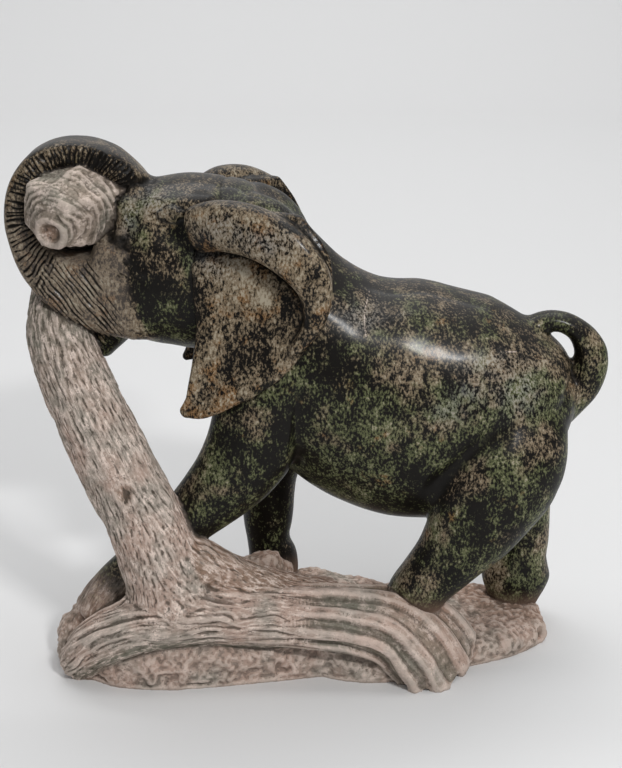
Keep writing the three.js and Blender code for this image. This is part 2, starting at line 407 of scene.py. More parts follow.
class Limb:
    """Superelliptic sections along a smooth line, with rounded ends, as a dense closed mesh."""

    def __init__(self, name, group, stations, power=2.0, lateral=ACROSS, turn=0.0, cap=0.6, section=None):
        self.name, self.group = name, group
        st = np.array(stations, float)
        st[:, :3] -= STANCE
        coarse = spline(st[:, :3], np.linspace(0, 1, 60))
        length = np.linalg.norm(np.diff(coarse, axis=0), axis=1).sum()
        rings = max(8, int(length / LOFT_STEP))
        sides = max(20, int(2 * math.pi * st[:, 3:].max() / LOFT_STEP))
        t = np.linspace(0, 1, rings + 1)
        self.t = t
        self.centre = spline(st[:, :3], t)
        self.size = spline(st[:, 3:], t)
        step = 1e-4
        self.tangent = unit(spline(st[:, :3], t + step) - spline(st[:, :3], t - step))
        lat = np.array(lateral)
        across = unit(lat - (self.tangent @ lat)[:, None] * self.tangent)
        a = math.radians(turn)
        self.across = across * math.cos(a) + np.cross(self.tangent, across) * math.sin(a)
        self.deep = np.cross(self.tangent, self.across)
        self.along = np.concatenate([[0], np.cumsum(np.linalg.norm(np.diff(self.centre, axis=0), axis=1))])
        quarter = np.sin(np.linspace(0, math.pi / 2, CAP_STEPS + 1))[1:]
        ring = np.concatenate([np.zeros(CAP_STEPS, int), np.arange(rings + 1), np.full(CAP_STEPS, rings)])
        out = np.concatenate([-quarter[::-1], np.zeros(rings + 1), quarter])
        angle = np.linspace(0, 2 * math.pi, sides, endpoint=False)
        c, s = np.cos(angle), np.sin(angle)
        r = (np.abs(c) ** power + np.abs(s) ** power) ** (-1 / power)
        size = self.size[ring]
        shrink = np.sqrt(np.maximum(1 - out**2, 0))[:, None]
        x = shrink * size[:, :1] * (r * c)
        y = shrink * size[:, 1:] * (r * s)
        if section:
            x, y = section(x, y, size[:, :1], size[:, 1:])
        middle = self.centre[ring] + self.tangent[ring] * (out * cap * size.min(axis=1))[:, None]
        grid = (
            middle[:, None]
            + x[..., None] * self.across[ring][:, None]
            + y[..., None] * self.deep[ring][:, None]
        )
        self.points = grid.reshape(-1, 3)
        self.ring_of = np.repeat(ring, sides)
        j, i = np.meshgrid(np.arange(len(ring) - 1), np.arange(sides), indexing="ij")
        k = (i + 1) % sides
        self.quads = np.stack(
            [j * sides + i, j * sides + k, (j + 1) * sides + k, (j + 1) * sides + i], axis=-1
        ).reshape(-1, 4)


def between(values, t):
    return np.interp(t, np.linspace(0, 1, len(values)), values)


def trunk_stations():
    t = np.linspace(0, 1, CURL_STEPS + 1)
    a = np.radians(CURL_FROM + (CURL_TO - CURL_FROM) * t)
    r = between(CURL_RADIUS, t)
    cx, cy, cz = CURL_CENTRE
    x, y, z = cx + r * np.cos(a), np.full_like(a, cy), cz + r * np.sin(a)
    curl = np.stack([x, y, z, between(CURL_ACROSS, t), between(CURL_DEEP, t)], axis=1)
    return np.vstack([np.array(TRUNK_ROOT, float), curl])


def far_side(stations, share=1.0, across_share=1.0, lean=0.0):
    """The same form on the animal's far side, drawn in towards the ear's front edge and leaning forward."""
    st = np.array(stations, float)
    st[:, 0] = EAR_HINGE + share * (st[:, 0] - EAR_HINGE) - lean * np.maximum(FAR_EAR_BELOW - st[:, 2], 0)
    st[:, 1] = 2 * MIDLINE - st[:, 1]
    st[:, 3] *= across_share
    return st


def dish(side):
    """Hollows the outer face of an ear's flap."""

    def section(x, y, a, b):
        middle = np.clip(1 - (x / np.maximum(a, 1e-6)) ** 2, 0, 1) ** 1.5
        return x, np.where(y * side > 0, y * (1 - 0.85 * middle), y)

    return section


def facets(x, y, a, b):
    """Six uneven facets round the broken tree top."""
    angle = np.arctan2(y / b, x / a)
    sector = math.pi / 3
    turned = angle + 0.3 + 0.16 * np.sin(2 * angle + 0.5)
    folded = np.mod(turned, sector) - sector / 2
    share = 1.04 * math.cos(sector / 2) / np.cos(folded) * (1 + 0.04 * np.sin(angle + 1))
    return x * share, y * share


def make_limbs():
    flap_far = far_side(EAR_FLAP, FAR_EAR_SHARE, FAR_EAR_SHARE, FAR_EAR_LEAN)
    fold_far = far_side(EAR_FOLD, FAR_EAR_SHARE, 1.0, FAR_EAR_LEAN)
    limbs = [
        Limb("torso", "body", TORSO),
        Limb("head", "body", HEAD, power=2.3),
        Limb("trunk", "body", trunk_stations(), power=4.2),
        Limb("lip", "body", LIP),
        Limb("near_foreleg", "body", NEAR_FORELEG),
        Limb("far_foreleg", "body", FAR_FORELEG),
        Limb("near_hindleg", "body", NEAR_HINDLEG),
        Limb("far_hindleg", "body", FAR_HINDLEG),
        Limb("tail", "body", TAIL),
        Limb("near_flap", "near_ear", EAR_FLAP, power=2.4, lateral=ALONG, turn=EAR_TURN, section=dish(1)),
        Limb("near_fold", "near_ear", EAR_FOLD, power=2.8),
        Limb("far_flap", "far_ear", flap_far, power=2.4, lateral=ALONG, turn=-EAR_TURN, section=dish(-1)),
        Limb("far_fold", "far_ear", fold_far, power=2.8),
        Limb("tree", "wood", TREE),
        Limb("stump", "wood", STUMP, lateral=UP, cap=0.25, section=facets),
        Limb("root", "wood", ROOT, lateral=FLARE),
        Limb("ground", "wood", GROUND, power=3.2),
        Limb("ridge", "wood", RIDGE, cap=1.0),
        Limb("buttress", "wood", BUTTRESS),
        Limb("rock", "wood", ROCK, cap=0.9),
    ]
    for name, stations in (("nape", NAPE), ("brow", BROW), ("muzzle", MUZZLE)):
        limbs += [Limb(name, "body", stations), Limb("far_" + name, "body", far_side(stations))]
    for name, stations in (("eyelid", EYELID), ("eyeball", EYEBALL)):
        limbs += [Limb(name, "eyes", stations), Limb("far_" + name, "eyes", far_side(stations))]
    return limbs


class Surface:
    """A closed quad mesh as arrays, in millimetres."""

    def __init__(self, mesh):
        self.points = np.zeros(len(mesh.vertices) * 3)
        mesh.vertices.foreach_get("co", self.points)
        self.points = self.points.reshape(-1, 3)
        self.quads = np.zeros(len(mesh.loops), int)
        mesh.loops.foreach_get("vertex_index", self.quads)
        self.quads = self.quads.reshape(-1, 4)
        edges = np.zeros(len(mesh.edges) * 2, int)
        mesh.edges.foreach_get("vertices", edges)
        self.edges = edges.reshape(-1, 2)
        self.count = len(self.points)
        self.degree = np.maximum(np.bincount(edges, minlength=self.count), 1)

    def mean_of_neighbours(self, values):
        """Mean over each point's neighbours of an array of values or vectors."""
        v = values.reshape(self.count, -1)
        a, b = self.edges.T
        total = [
            np.bincount(a, v[b, k], self.count) + np.bincount(b, v[a, k], self.count)
            for k in range(v.shape[1])
        ]
        return (np.stack(total, axis=1) / self.degree[:, None]).reshape(values.shape)

    def normals(self):
        p = self.points[self.quads]
        face = np.cross(p[:, 2] - p[:, 0], p[:, 3] - p[:, 1])
        total = [
            sum(np.bincount(self.quads[:, c], face[:, k], self.count) for c in range(4))
            for k in range(3)
        ]
        return unit(np.stack(total, axis=1))

    def fillet(self, steps, where=None):
        """Fills the creases only, so that limbs run into each other and ridges stay."""
        for step in range(steps):
            if step % 4 == 0:
                n = self.normals()
            shift = self.mean_of_neighbours(self.points) - self.points
            rise = np.maximum((shift * n).sum(axis=1), 0) * 0.8
            if where is not None:
                rise *= where
            self.points += n * rise[:, None]

    def within(self, box):
        """1 inside a box of x, y and z limits, fading out over its border."""
        p = self.points + STANCE
        share = np.ones(self.count)
        for axis, (low, high) in enumerate(box):
            share *= smooth(low, low + BORDER, p[:, axis]) * smooth(high, high - BORDER, p[:, axis])
        return share

    def calm(self, steps, where):
        """Evens out bumps and valleys in a region."""
        for _ in range(steps):
            self.points += (0.6 * where)[:, None] * (self.mean_of_neighbours(self.points) - self.points)

    def soften(self, steps):
        """Takes off the voxels' steps and keeps the volume."""
        for _ in range(steps):
            for share in (0.5, -0.52):
                self.points += share * (self.mean_of_neighbours(self.points) - self.points)

    def spread(self, values, steps):
        """Values blurred over the surface."""
        for _ in range(steps):
            values = (values + self.mean_of_neighbours(values)) / 2
        return values


def mesh_of(parts):
    """One Blender mesh from several (points, quads), not joined where they cross."""
    points, quads, first = [], [], 0
    for p, q in parts:
        points.append(p)
        quads.append(q + first)
        first += len(p)
    points = np.concatenate(points)
    quads = np.concatenate(quads)
    mesh = bpy.data.meshes.new("rough_block")
    mesh.vertices.add(len(points))
    mesh.vertices.foreach_set("co", points.ravel())
    mesh.loops.add(quads.size)
    mesh.loops.foreach_set("vertex_index", quads.ravel().astype(np.int32))
    mesh.polygons.add(len(quads))
    mesh.polygons.foreach_set("loop_start", np.arange(0, quads.size, 4, dtype=np.int32))
    mesh.update(calc_edges=True)
    return mesh


def applied(mesh, kind, **settings):
    """The mesh after one modifier."""
    holder = bpy.data.objects.new("holder", mesh)
    bpy.context.scene.collection.objects.link(holder)
    modifier = holder.modifiers.new(kind.lower(), kind)
    for key, value in settings.items():
        setattr(modifier, key, value)
    done = bpy.data.meshes.new_from_object(holder.evaluated_get(bpy.context.evaluated_depsgraph_get()))
    bpy.data.objects.remove(holder)
    bpy.data.meshes.remove(mesh)
    return done


def joined(parts, voxel):
    """The parts joined into one closed surface of even quads."""
    mesh = applied(mesh_of(parts), "REMESH", mode="VOXEL", voxel_size=voxel, adaptivity=0.0)
    surface = Surface(mesh)
    bpy.data.meshes.remove(mesh)
    return surface


class Carving:
    """The whole stone: the joined surface, and for each point its limb and its place on that limb."""

    def __init__(self, voxel):
        self.limbs = make_limbs()
        groups = {}
        for limb in self.limbs:
            points = limb.points.copy()
            points[:, 2] = np.maximum(points[:, 2], 0)
            groups.setdefault(limb.group, []).append((points, limb.quads))
        body = joined(groups["body"], BLEND_VOXEL)
        body.fillet(BODY_FILLET)
        body.calm(BACK_STEPS, body.within(BACK))
        body.calm(FOREHEAD_STEPS, body.within(FOREHEAD))
        wood = joined(groups["wood"], BLEND_VOXEL)
        wood.fillet(WOOD_FILLET)
        wood.fillet(FORK_FILLET, wood.within(FORK))
        ears = [joined(groups[ear], EAR_VOXEL) for ear in ("near_ear", "far_ear")]
        parts = [(s.points, s.quads) for s in (body, wood, *ears)]
        self.surface = joined(parts + groups["eyes"], voxel)
        self.surface.soften(2)
        self.locate()

    def locate(self):
        points = np.concatenate([limb.points for limb in self.limbs])
        tree = kdtree.KDTree(len(points))
        for i, p in enumerate(points):
            tree.insert(p, i)
        tree.balance()
        near = np.array([tree.find(p)[1] for p in self.surface.points])
        limb_of = np.concatenate([np.full(len(m.points), k) for k, m in enumerate(self.limbs)])
        first = np.cumsum([0] + [len(m.t) for m in self.limbs])
        ring_of = np.concatenate([m.ring_of + first[k] for k, m in enumerate(self.limbs)])[near]
        self.limb_of = limb_of[near]
        row = {
            key: np.concatenate([getattr(m, key) for m in self.limbs])[ring_of]
            for key in ("centre", "tangent", "across", "deep", "size", "along", "t")
        }
        d = self.surface.points - row["centre"]
        side, height, along = ((d * row[key]).sum(axis=1) for key in ("across", "deep", "tangent"))
        self.grain = np.stack([side, height, row["along"] + along], axis=1)
        self.t = row["t"]
        self.angle = np.arctan2(height / row["size"][:, 1], side / row["size"][:, 0])
        self.index = {m.name: k for k, m in enumerate(self.limbs)}
        self.sweep_fork()

    def sweep_fork(self):
        """Places along fibres that turn from the tree's foot into the arched root, and where they hold."""
        x, y, z = (self.surface.points + STANCE).T
        stem, arch = np.array(TREE, float), np.array(ROOT, float)
        from_edge = np.maximum(x - np.interp(z, stem[:, 2], stem[:, 0]) + stem[0, 4], 1.0)
        above = np.maximum(z - np.interp(x, arch[:, 0], arch[:, 2]) + arch[3, 4], 1.0)
        self.swept = np.stack([1 / np.hypot(1 / from_edge, 1 / above), y, from_edge - above], axis=1)
        below = smooth(FORK_TOP, FORK_TOP - FORK_TOP_FADE, z)
        after = smooth(FORK_LEFT, FORK_LEFT + FORK_LEFT_FADE, x)
        before = smooth(FLARE_START, FLARE_START - FLARE_FADE, self.t)
        foot = self.on("tree") * below + self.on("root") * after * before + self.on("buttress")
        self.fork = self.surface.spread(foot, BLEND_STEPS)

    def on(self, *names):
        """1 on the limbs of these names, 0 elsewhere."""
        return np.isin(self.limb_of, [self.index[n] for n in names]).astype(float)

    def inside(self, *names):
        """As on, but fading out towards the edge of those limbs."""
        return smooth(0.4, 0.85, self.surface.spread(self.on(*names), EDGE_STEPS))

    def local(self, cell, run, wander=0.0, swept=False):
        """Place on the limb, or along the swept fibres, in cells of that width and run."""
        place = self.swept if swept else self.grain
        cells = place / (cell, cell, run)
        if wander:
            cells[:, :2] += wander * noise(place / (8, 8, 11), 7)[:, None]
        return cells


def crease(p, line, width, taper=0.0):
    """1 along a line on the near side, falling off over a width and towards its ends, from x and z alone."""
    course = spline(np.array(line, float), np.linspace(0, 1, 6 * len(line)))
    xz = p[:, [0, 2]] + STANCE[[0, 2]]
    best = np.full(len(p), np.inf)
    share = np.zeros(len(p))
    for k, (a, b) in enumerate(zip(course[:-1], course[1:])):
        along = np.clip(((xz - a) @ (b - a)) / ((b - a) @ (b - a)), 0, 1)
        gap = np.linalg.norm(xz - a - along[:, None] * (b - a), axis=1)
        share = np.where(gap < best, (k + along) / (len(course) - 1), share)
        best = np.minimum(best, gap)
    near = smooth(MIDLINE, MIDLINE - 8, p[:, 1] + STANCE[1])
    if taper:
        near = near * smooth(0, taper, share) * smooth(1, 1 - taper, share)
    return near * np.exp(-((best / width) ** 2))


def trunk_grooves(stone, p):
    """Radial tool lines on the flat sides of the curl, and slanting ones on the trunk's root."""
    cx, cy, cz = np.array(CURL_CENTRE) - STANCE
    dx, dz = p[:, 0] - cx, p[:, 2] - cz
    r = np.hypot(dx, dz)
    turn = np.degrees(np.arctan2(dz, dx)) % 360
    share = np.clip((CURL_FROM - turn) / (CURL_FROM - CURL_TO), 0, 1)
    flat = smooth(0.72, 0.9, np.abs(p[:, 1] - cy) / between(CURL_ACROSS, share))
    out = (r - between(CURL_RADIUS, share)) / between(CURL_DEEP, share)
    band = 1 - smooth(0.66, 0.86, out)
    curled = smooth(258, 238, turn) * smooth(16, 26, turn)
    still = np.zeros_like(r)
    wander = noise(np.stack([turn / 6, r / 6, still], axis=1), 11)
    strength = 0.65 + 0.6 * noise(np.stack([turn / 2.4, r / 5, p[:, 1] / 30], axis=1), 12)
    radial = (0.5 + 0.5 * np.cos(np.radians(turn) * CURL_GROOVES + 2.6 * wander)) ** 1.4
    lean = p[:, 0] * 0.8 + p[:, 2] * 0.6
    slope = p[:, 0] * 0.6 - p[:, 2] * 0.8
    drift = noise(np.stack([lean / 7, slope / 9, p[:, 1] / 30], axis=1), 13)
    worn = 0.6 + 0.6 * noise(np.stack([lean / 2.4, slope / 7, p[:, 1] / 30], axis=1), 14)
    slant = (0.5 + 0.5 * np.cos(lean * 2 * math.pi / SLANT_PITCH + 2.4 * drift)) ** 1.4
    sided = smooth(0.3, 0.6, np.abs(p[:, 1] - cy) / 26)
    rooted = smooth(232, 246, turn) * smooth(298, 284, turn) * smooth(26, 34, r)
    trunk = stone.inside("trunk", "lip")
    depth = CURL_GROOVE_DEPTH * strength * flat * radial * band * curled
    depth += SLANT_DEPTH * worn * sided * slant * rooted
    return -trunk * np.maximum(depth, 0)


def fibres(stone, swept):
    """Short cuts and pits of the tree, and long wavy lines of the root."""
    cut = smooth(0.15, 0.6, noise(stone.local(1.7, 8, 0.4, swept), 21))
    fine = smooth(0.2, 0.6, noise(stone.local(1.2, 5, 0.3, swept), 22))
    pit = smooth(0.45, 0.8, noise(stone.local(2.6, 4, 0.0, swept), 23))
    slanting = stone.local(1.6, 7, 0.4, swept)
    slanting[:, 0] += 0.7 * slanting[:, 2]
    cross = smooth(0.2, 0.65, noise(slanting, 28))
    lumps = rough(stone.local(9, 15, 0.0, swept), 24, 3)
    line = smooth(0.0, 0.5, noise(stone.local(1.9, 34, 0.9, swept), 25))
    between_lines = smooth(0.05, 0.55, noise(stone.local(2.8, 22, 0.8, swept), 26))
    swell = rough(stone.local(8, 40, 0.0, swept), 27, 2)
    short = -0.5 * cut - 0.25 * fine - 0.4 * pit - 0.45 * cross + 0.9 * lumps
    return np.stack([short, -0.9 * line - 0.7 * between_lines, swell])


def bark(stone):
    """Short cuts along the tree, long lines along the root, both on the web between."""
    limbs = ("tree", "root", "buttress")
    tree, root, web = (stone.surface.spread(stone.on(name), BLEND_STEPS) for name in limbs)
    own, swept = fibres(stone, False), fibres(stone, True)
    short, long, swell = own + stone.fork * (swept - own)
    plain = np.exp(-(((stone.angle + 2.2) / 0.3) ** 2))
    flare = smooth(0.5, 0.62, stone.t)
    long = long * (1 - 0.85 * plain) * (1 - 0.75 * flare)
    return tree * short + root * (long + 0.8 * swell) + web * (0.5 * short + 0.5 * long + 0.4 * swell)


def flutes(stone):
    """Wide flutes where the root spreads to the ground, sunk below the bark that ends before them."""
    spread = smooth(FLARE_START, FLARE_START + 0.08, stone.t)
    wave = np.cos(FLUTES * stone.angle + 0.7 + 0.5 * noise(stone.local(14, 40), 31))
    sunk = FLUTE_SINK * smooth(0.85, 0.6, stone.t)
    return stone.inside("root") * spread * (FLUTE_DEPTH * np.tanh(2.2 * wave) - sunk)


def from_top_knot(p):
    """Distance to the knot of the broken top, which runs on into the stone."""
    return np.linalg.norm((p - STUMP_KNOT) * (1.0, 0.7, 1.0), axis=1)


def knots(stone, p):
    """The knot of the broken top with torn grain round it, and a small one on the tree."""
    top = from_top_knot(p + STANCE)
    wild = 3.0 * noise(p / 12, 41) + 1.0 * noise(p / 4, 44)
    lines = np.cos((top + wild) * 2 * math.pi / RING_PITCH)
    torn = np.abs(noise(np.stack([top / 1.6, p[:, 0] / 9, p[:, 1] / 9], axis=1), 47))
    come_and_go = smooth(-0.3, 0.4, noise(p / 8, 45))
    pits = smooth(0.4, 0.8, noise(p / 2.4, 42))
    ring = np.exp(-(((top - KNOT_SIZE - 1) / 2) ** 2))
    core = smooth(KNOT_SIZE, KNOT_SIZE - 3, top) * (-1.8 - 0.6 * pits)
    around = smooth(KNOT_SIZE + 2, KNOT_SIZE + 4, top)
    grown = (RING_DEPTH * lines * come_and_go - 0.4 * smooth(0.2, 0.02, torn)) * around
    grown += KNOT_RIM * ring + core
    grown += 1.5 * noise(p / 13, 43) + 0.5 * noise(p / 5, 46) - 0.4 * pits
    small = np.linalg.norm(p + STANCE - TREE_KNOT, axis=1)
    burl = 0.8 * np.exp(-(((small - 6.5) / 2) ** 2)) - 1.6 * np.exp(-((small / 3.6) ** 2))
    return stone.inside("stump") * grown + stone.inside("tree") * burl


def rock_face(stone, p):
    """The rough ground with its broken edge."""
    heavy = 2.1 * rough(p / 17, 51, 2) + 1.2 * rough(p / 5, 53, 2) + 0.5 * noise(p / 1.9, 55)
    chips = -3.0 * smooth(0.3, 0.6, noise(p / 9, 56)) * smooth(18, 5, p[:, 2])
    return stone.inside("ground", "ridge", "rock") * (heavy + chips) * smooth(0.5, 4.0, p[:, 2])


def face(stone, p):
    """Eye sockets, the hollow before the muzzle, the crown's crease and the face's front edge."""
    x, y, z = (p + STANCE).T
    skull = stone.inside("head", "brow", "far_brow", "muzzle", "far_muzzle", "trunk", "nape", "torso")
    far = np.hypot((x - SOCKET[0]) / SOCKET_SIZE[0], (z - SOCKET[1]) / SOCKET_SIZE[1])
    sockets = -SOCKET_DEPTH * np.exp(-(far**2.4))
    (hollow_x, hollow_z), (wide, high) = MUZZLE_HOLLOW, MUZZLE_HOLLOW_SIZE
    hollow = -MUZZLE_HOLLOW_DEPTH * np.exp(-(((x - hollow_x) / wide) ** 2) - ((z - hollow_z) / high) ** 2)
    line = x - CROWN_LINE + 0.12 * (y - MIDLINE) - 3.5 * np.sin((y - MIDLINE) / 14)
    crown = -CROWN_DEPTH * smooth(262, 276, z) * np.exp(-((line / CROWN_WIDTH) ** 2))
    edge = -FACE_EDGE_DEPTH * crease(p, FACE_EDGE, FACE_EDGE_WIDTH)
    return skull * (sockets + hollow + crown + edge)


def hand_finish(stone, p):
    """Slight unevenness of the polished skin, and tool marks left on the muzzle."""
    x, _, z = (p + STANCE).T
    muzzle = smooth(-84, -92, x) * smooth(-124, -116, x) * smooth(236, 246, z) * smooth(300, 292, z)
    slanted = p + 0.5 * p[:, [1, 2, 0]]
    chips = noise(slanted / 4, 63) + 0.6 * noise(slanted / 2, 64)
    polished = 1 - stone.on(*WOOD)
    uneven = 0.35 * noise(p / 23, 61) + 0.2 * noise(p / 9, 62)
    return polished * (uneven + 0.6 * muzzle * chips)


def deep_creases(stone, p):
    """Creases of thigh and shoulder."""
    thigh = THIGH_DEPTH * crease(p, THIGH_CREASE, THIGH_WIDTH, 0.3)
    shoulder = SHOULDER_DEPTH * crease(p, SHOULDER_CREASE, SHOULDER_WIDTH, 0.2)
    return -(1 - stone.on(*WOOD)) * (thigh + shoulder)


def carve_relief(stone, depth):
    """Cuts all the marks along the normals, the ear's undercut across, and saws the underside flat."""
    surface = stone.surface
    p = surface.points.copy()
    n = surface.normals()
    height = (
        trunk_grooves(stone, p)
        + bark(stone)
        + flutes(stone)
        + knots(stone, p)
        + rock_face(stone, p)
        + face(stone, p)
        + hand_finish(stone, p)
        + deep_creases(stone, p)
    )
    height *= depth
    surface.points += n * height[:, None]
    under_fold = stone.on("near_flap") * crease(p, EAR_UNDERCUT, UNDERCUT_WIDTH)
    surface.points[:, 1] += UNDERCUT_DEPTH * under_fold * smooth(0.1, 0.5, -n[:, 1])
    n = surface.normals()
    under = (surface.points[:, 2] < SAWN_BELOW) & (n[:, 2] < -0.3)
    surface.points[under, 2] = 0.0
    surface.points[:, 2] = np.maximum(surface.points[:, 2], 0.0)
    return height


def spots(p, places):
    """1 at each place on the near side, falling off over its width and height."""
    x, z = p[:, 0], p[:, 2]
    near = smooth(MIDLINE, MIDLINE - 14, p[:, 1])
    return near * sum(np.exp(-(((x - a) / w) ** 2) - (((z - b) / h) ** 2)) for a, b, w, h in places)


def finish_masks(stone, height):
    """Where the finish and colour change over the stone, and where shade and sheen are painted, one value
    from 0 to 1 for each point.
    """
    surface = stone.surface
    p = surface.points + STANCE
    n = surface.normals()
    shift = surface.mean_of_neighbours(surface.points) - surface.points
    bend = (shift * n).sum(axis=1)
    fine = surface.spread(bend, 2)
    wide = surface.spread(bend, 16)
    scale = np.std(fine) + 1e-9
    feet = np.zeros(surface.count)
    soles = np.zeros(surface.count)
    for x, y, z, *_ in FEET:
        d = np.hypot(p[:, 0] - x, p[:, 1] - y)
        feet = np.maximum(feet, smooth(44, 16, d))
        soles = np.maximum(soles, smooth(28, 18, d) * smooth(z + 16, z, p[:, 2]))
    x, y, z, *_ = NEAR_FORELEG[-1]
    toes = smooth(36, 24, np.hypot(p[:, 0] - x, p[:, 1] - y)) * smooth(z + 34, z + 12, p[:, 2])
    toes = toes * stone.on("near_foreleg")
    knot = np.linalg.norm(p - TREE_KNOT, axis=1)
    ears = ("near_flap", "near_fold", "far_flap", "far_fold")
    # Grey green on the arch's lower front face and in the flutes' grooves: painted shade.
    arch = stone.on("root") * np.exp(-(((stone.angle + 2.1) / 0.35) ** 2))
    flare = stone.on("root") * smooth(FLARE_START, FLARE_START + 0.1, stone.t)
    fluted = flare * smooth(-0.6, -2.4, height)
    tanned = 0.9 * feet * stone.on("ground", "ridge", "root", "rock") + stone.on("buttress")
    tanned += stone.on("ground") * 0.4 * smooth(70, 110, p[:, 0]) + 0.4 * stone.on("ridge", "rock")
    core = stone.on("tree") * smooth(9, 3, knot)
    core += stone.on("stump") * smooth(KNOT_SIZE, KNOT_SIZE - 3, from_top_knot(p))
    # Painted shadow under the ear's fold.
    undercut = stone.on("near_flap") * crease(surface.points, EAR_UNDERCUT, UNDERCUT_SHADE)
    even = stone.on("ground", "ridge", "rock") + 0.6 * stone.on("stump") + 0.7 * flare
    # Painted shade on the far foreleg and the far ear's flap, and under the ear's fold.
    unlit = undercut + 0.8 * stone.on("far_foreleg") + stone.on("far_flap")
    old_top = stone.on("tree") * smooth(0.4, 0.7, stone.t) + 0.7 * stone.on("stump")
    return {
        "raw": np.maximum(surface.spread(stone.on(*WOOD), 2), 0.7 * toes),
        # Bend of the surface, high in creases and hollows, where it gives painted shade, with the painted
        # shadow under the ear's fold; low on ridges, which the raw stone shows lighter.
        "hollow": np.clip(0.5 + 0.22 * fine / scale + 6.0 * wide + 0.5 * undercut, 0, 1),
        "stain": np.clip(surface.spread(tanned, 12) + core + 0.6 * toes, 0, 1),
        "sole": soles,
        "warm": surface.spread(stone.on(*ears) + 0.8 * stone.on("trunk"), 6),
        # Faces that look down, low on the carving: painted shade, and an olive hue that is partly the
        # stone's own and partly a painted green reflection from below.
        "green": np.clip(smooth(0.6, -0.4, n[:, 2]) * smooth(290, 180, p[:, 2]), 0, 1),
        # Grey green: painted shade under the arch and in the flutes' grooves, and the tone of the tree's top
        # and the stump.
        "grey_green_and_shade": np.clip(arch + 0.8 * fluted + 0.9 * old_top, 0, 1),
        # Faces on top: painted grey sheen, with some dust.
        "dust_and_sheen": smooth(0.35, 0.95, n[:, 2]),
        # Depth of the trunk's grooves: painted shade in them, and a duller finish.
        "tool": np.clip(-height / 1.4, 0, 1) * stone.on("trunk"),
        "curl": stone.on("trunk") * smooth(-92, -106, p[:, 0]) * smooth(300, 268, p[:, 2]),
        "slab": surface.spread(even, 4),
        # Painted shade in the dark spots, under the ear's fold and on the far foreleg and far flap.
        "shade": np.clip(spots(p, PAINTED_SHADE_SPOTS) + unlit, 0, 1),
        # Pale spots: scuffs, and painted sheen and highlights.
        "scuff_and_sheen": np.clip(spots(p, SCUFF_AND_SHEEN_SPOTS), 0, 1),
        "fork": stone.fork,
        "grain": stone.grain * MM,
        "swept": stone.swept * MM,
    }


def stone_mesh(stone, masks, most):
    """The finished mesh in metres, with its masks and at most that many triangles."""
    surface = stone.surface
    mesh = mesh_of([(surface.points * MM, surface.quads)])
    for name, values in masks.items():
        kind, key = ("FLOAT", "value") if values.ndim == 1 else ("FLOAT_VECTOR", "vector")
        layer = mesh.attributes.new(name, kind, "POINT")
        layer.data.foreach_set(key, values.astype(np.float32).ravel())
    triangles = 2 * len(surface.quads)
    if triangles > most:
        settings = {"decimate_type": "COLLAPSE", "use_collapse_triangulate": True}
        mesh = applied(mesh, "DECIMATE", ratio=most / triangles, **settings)
    points = np.zeros(len(mesh.vertices) * 3)
    mesh.vertices.foreach_get("co", points)
    points[2::3] = np.maximum(points[2::3], 0.0)
    mesh.vertices.foreach_set("co", points)
    mesh.polygons.foreach_set("use_smooth", np.ones(len(mesh.polygons), bool))
    return mesh


class Wire:
    """A socket of a material, with arithmetic that adds its nodes."""

    def __init__(self, maker, socket):
        self.maker, self.socket = maker, socket

    def _math(self, operation, *values, clamp=False):
        settings = {"operation": operation, "use_clamp": clamp}
        return self.maker.add("ShaderNodeMath", settings, dict(enumerate(values)))

    def __add__(self, other):
        return self._math("ADD", self, other)

    __radd__ = __add__

    def __sub__(self, other):
        return self._math("SUBTRACT", self, other)

    def __rsub__(self, other):
        return self._math("SUBTRACT", other, self)

    def __mul__(self, other):
        return self._math("MULTIPLY", self, other)

    __rmul__ = __mul__

    def clamped(self):
        return self._math("ADD", self, 0.0, clamp=True)

    def most(self, other):
        return self._math("MAXIMUM", self, other)

    def step(self, low, high):
        """A soft step from 0 at low to 1 at high."""
        settings = {"interpolation_type": "SMOOTHSTEP"}
        sockets = {"Value": self, "From Min": low, "From Max": high}
        return self.maker.add("ShaderNodeMapRange", settings, sockets)


class Maker:
    """Adds nodes to one material."""

    def __init__(self, material):
        material.use_nodes = True
        self.tree = material.node_tree
        self.tree.nodes.clear()

    def add(self, kind, settings=None, sockets=None, out=0):
        node = self.tree.nodes.new(kind)
        for key, value in (settings or {}).items():
            setattr(node, key, value)
        for key, value in (sockets or {}).items():
            if isinstance(value, Wire):
                self.tree.links.new(value.socket, node.inputs[key])
            else:
                node.inputs[key].default_value = value
        return Wire(self, node.outputs[out]) if len(node.outputs) else None

    def mask(self, name, out="Fac"):
        return self.add("ShaderNodeAttribute", {"attribute_name": name}, out=out)

    def mix(self, share, a, b):
        return self.add("ShaderNodeMix", {"data_type": "RGBA"}, {0: share, 6: a, 7: b}, out=2)

    def noise(self, place, scale, detail=3.0, roughness=0.55):
        sockets = {"Vector": place, "Scale": scale, "Detail": detail, "Roughness": roughness}
        return self.add("ShaderNodeTexNoise", None, sockets, out="Fac")

    def vector(self, operation, a, b, out=0):
        return self.add("ShaderNodeVectorMath", {"operation": operation}, {0: a, 1: b}, out=out)

    def stretched(self, place, scale):
        return self.vector("MULTIPLY", place, scale)

    def scratch(self, place, start, stop, width):
        """1 along a straight line from start to stop, given as x and z, falling off over a width."""
        a = ((start[0] - STANCE[0]) * MM, 0.0, (start[1] - STANCE[2]) * MM)
        run = ((stop[0] - start[0]) * MM, 0.0, (stop[1] - start[1]) * MM)
        d = self.vector("SUBTRACT", self.stretched(place, (1.0, 0.0, 1.0)), a)
        length = math.hypot(run[0], run[2])
        along = (self.vector("DOT_PRODUCT", d, run, "Value") * (1 / length**2)).clamped()
        foot = self.add("ShaderNodeVectorMath", {"operation": "SCALE"}, {0: run, "Scale": along})
        apart = self.vector("SUBTRACT", d, foot)
        gap = self.add("ShaderNodeVectorMath", {"operation": "LENGTH"}, {0: apart}, "Value")
        return gap.step(width * MM, 0.0)


def rgba(colour):
    return (*colour, 1.0)


